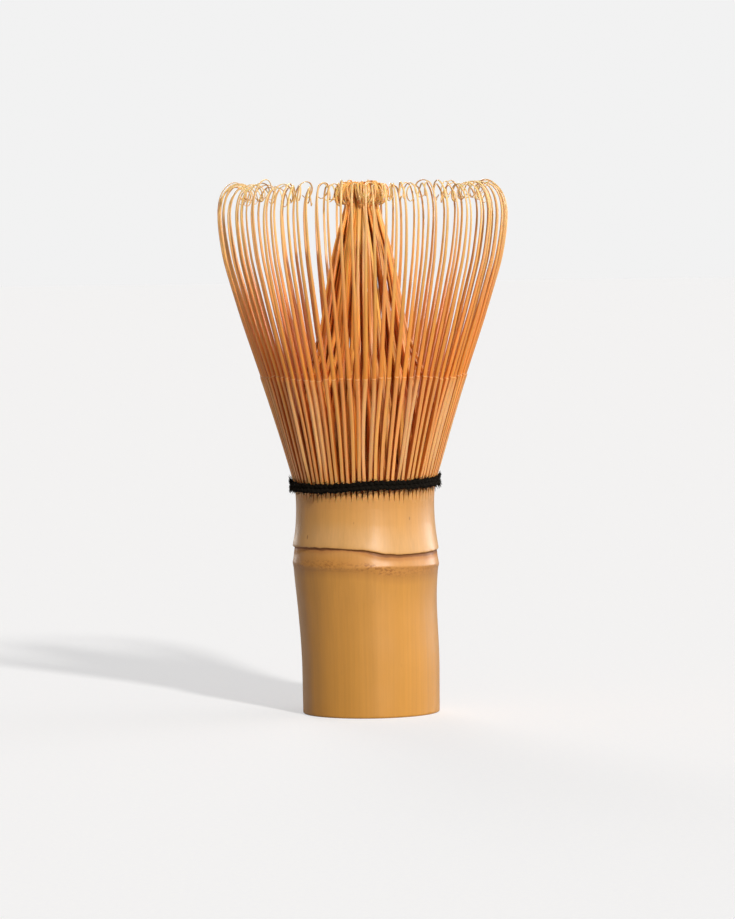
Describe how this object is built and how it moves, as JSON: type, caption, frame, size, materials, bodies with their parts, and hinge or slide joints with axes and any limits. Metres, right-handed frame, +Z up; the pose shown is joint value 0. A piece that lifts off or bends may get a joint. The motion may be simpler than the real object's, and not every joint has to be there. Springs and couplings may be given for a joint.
{
  "type": "bamboo tea whisk",
  "caption": "Bamboo matcha whisk standing on its handle: a noded culm handle, a flared cage of hooked outer tines round a tight inner bundle, and a black thread binding.",
  "frame": {"origin": "on the table under the middle of the cage, at the level of the handle's cut foot", "axes": "+Z up the whisk from the foot of the handle to the tips of the tines; -Y is the front, where the binding thread dips"},
  "size_m": [0.0606, 0.0606, 0.1117],
  "materials": {
    "culm": "satin",
    "outer_tine": "satin",
    "inner_tine": "matte",
    "thread": "matte"
  },
  "bodies": {
    "culm": {"culm_handle": "culm", "thread_course_lower": "thread", "thread_course_upper": "thread", "thread_knot": "thread"},
    "outer_wedge_01": {"outer_tines_01": "outer_tine"},
    "outer_wedge_02": {"outer_tines_02": "outer_tine"},
    "outer_wedge_03": {"outer_tines_03": "outer_tine"},
    "outer_wedge_04": {"outer_tines_04": "outer_tine"},
    "outer_wedge_05": {"outer_tines_05": "outer_tine"},
    "outer_wedge_06": {"outer_tines_06": "outer_tine"},
    "outer_wedge_07": {"outer_tines_07": "outer_tine"},
    "outer_wedge_08": {"outer_tines_08": "outer_tine"},
    "outer_wedge_09": {"outer_tines_09": "outer_tine"},
    "outer_wedge_10": {"outer_tines_10": "outer_tine"},
    "outer_wedge_11": {"outer_tines_11": "outer_tine"},
    "outer_wedge_12": {"outer_tines_12": "outer_tine"},
    "outer_wedge_13": {"outer_tines_13": "outer_tine"},
    "outer_wedge_14": {"outer_tines_14": "outer_tine"},
    "outer_wedge_15": {"outer_tines_15": "outer_tine"},
    "outer_wedge_16": {"outer_tines_16": "outer_tine"},
    "inner_bundle": {"inner_tines_01": "inner_tine", "inner_tines_02": "inner_tine", "inner_tines_03": "inner_tine", "inner_tines_04": "inner_tine", "inner_tines_05": "inner_tine", "inner_tines_06": "inner_tine", "inner_tines_07": "inner_tine", "inner_tines_08": "inner_tine", "inner_tines_09": "inner_tine", "inner_tines_10": "inner_tine", "inner_tines_11": "inner_tine", "inner_tines_12": "inner_tine", "inner_tines_13": "inner_tine", "inner_tines_14": "inner_tine", "inner_tines_15": "inner_tine", "inner_tines_16": "inner_tine"}
  },
  "joints": [
    {"name": "outer_flex_01", "type": "hinge", "parent": "culm", "child": "outer_wedge_01", "pos_m": [0.01445, 0, 0.0477], "axis": [0, 1, 0], "range_deg": [-3, 3], "stiffness_Nm_per_rad": 0.015},
    {"name": "outer_flex_02", "type": "hinge", "parent": "culm", "child": "outer_wedge_02", "pos_m": [0.01335, 0.00553, 0.0477], "axis": [-0.3827, 0.9239, 0], "range_deg": [-3, 3], "stiffness_Nm_per_rad": 0.015},
    {"name": "outer_flex_03", "type": "hinge", "parent": "culm", "child": "outer_wedge_03", "pos_m": [0.01022, 0.01022, 0.0477], "axis": [-0.7071, 0.7071, 0], "range_deg": [-3, 3], "stiffness_Nm_per_rad": 0.015},
    {"name": "outer_flex_04", "type": "hinge", "parent": "culm", "child": "outer_wedge_04", "pos_m": [0.00553, 0.01335, 0.0477], "axis": [-0.9239, 0.3827, 0], "range_deg": [-3, 3], "stiffness_Nm_per_rad": 0.015},
    {"name": "outer_flex_05", "type": "hinge", "parent": "culm", "child": "outer_wedge_05", "pos_m": [0, 0.01445, 0.0477], "axis": [-1, 0, 0], "range_deg": [-3, 3], "stiffness_Nm_per_rad": 0.015},
    {"name": "outer_flex_06", "type": "hinge", "parent": "culm", "child": "outer_wedge_06", "pos_m": [-0.00553, 0.01335, 0.0477], "axis": [-0.9239, -0.3827, 0], "range_deg": [-3, 3], "stiffness_Nm_per_rad": 0.015},
    {"name": "outer_flex_07", "type": "hinge", "parent": "culm", "child": "outer_wedge_07", "pos_m": [-0.01022, 0.01022, 0.0477], "axis": [-0.7071, -0.7071, 0], "range_deg": [-3, 3], "stiffness_Nm_per_rad": 0.015},
    {"name": "outer_flex_08", "type": "hinge", "parent": "culm", "child": "outer_wedge_08", "pos_m": [-0.01335, 0.00553, 0.0477], "axis": [-0.3827, -0.9239, 0], "range_deg": [-3, 3], "stiffness_Nm_per_rad": 0.015},
    {"name": "outer_flex_09", "type": "hinge", "parent": "culm", "child": "outer_wedge_09", "pos_m": [-0.01445, 0, 0.0477], "axis": [0, -1, 0], "range_deg": [-3, 3], "stiffness_Nm_per_rad": 0.015},
    {"name": "outer_flex_10", "type": "hinge", "parent": "culm", "child": "outer_wedge_10", "pos_m": [-0.01335, -0.00553, 0.0477], "axis": [0.3827, -0.9239, 0], "range_deg": [-3, 3], "stiffness_Nm_per_rad": 0.015},
    {"name": "outer_flex_11", "type": "hinge", "parent": "culm", "child": "outer_wedge_11", "pos_m": [-0.01022, -0.01022, 0.0477], "axis": [0.7071, -0.7071, 0], "range_deg": [-3, 3], "stiffness_Nm_per_rad": 0.015},
    {"name": "outer_flex_12", "type": "hinge", "parent": "culm", "child": "outer_wedge_12", "pos_m": [-0.00553, -0.01335, 0.0477], "axis": [0.9239, -0.3827, 0], "range_deg": [-3, 3], "stiffness_Nm_per_rad": 0.015},
    {"name": "outer_flex_13", "type": "hinge", "parent": "culm", "child": "outer_wedge_13", "pos_m": [0, -0.01445, 0.0477], "axis": [1, 0, 0], "range_deg": [-3, 3], "stiffness_Nm_per_rad": 0.015},
    {"name": "outer_flex_14", "type": "hinge", "parent": "culm", "child": "outer_wedge_14", "pos_m": [0.00553, -0.01335, 0.0477], "axis": [0.9239, 0.3827, 0], "range_deg": [-3, 3], "stiffness_Nm_per_rad": 0.015},
    {"name": "outer_flex_15", "type": "hinge", "parent": "culm", "child": "outer_wedge_15", "pos_m": [0.01022, -0.01022, 0.0477], "axis": [0.7071, 0.7071, 0], "range_deg": [-3, 3], "stiffness_Nm_per_rad": 0.015},
    {"name": "outer_flex_16", "type": "hinge", "parent": "culm", "child": "outer_wedge_16", "pos_m": [0.01335, -0.00553, 0.0477], "axis": [0.3827, 0.9239, 0], "range_deg": [-3, 3], "stiffness_Nm_per_rad": 0.015},
    {"name": "inner_sway", "type": "hinge", "parent": "culm", "child": "inner_bundle", "pos_m": [0, 0, 0.0469], "axis": [0, 1, 0], "range_deg": [-3, 3], "stiffness_Nm_per_rad": 0.2}
  ]
}
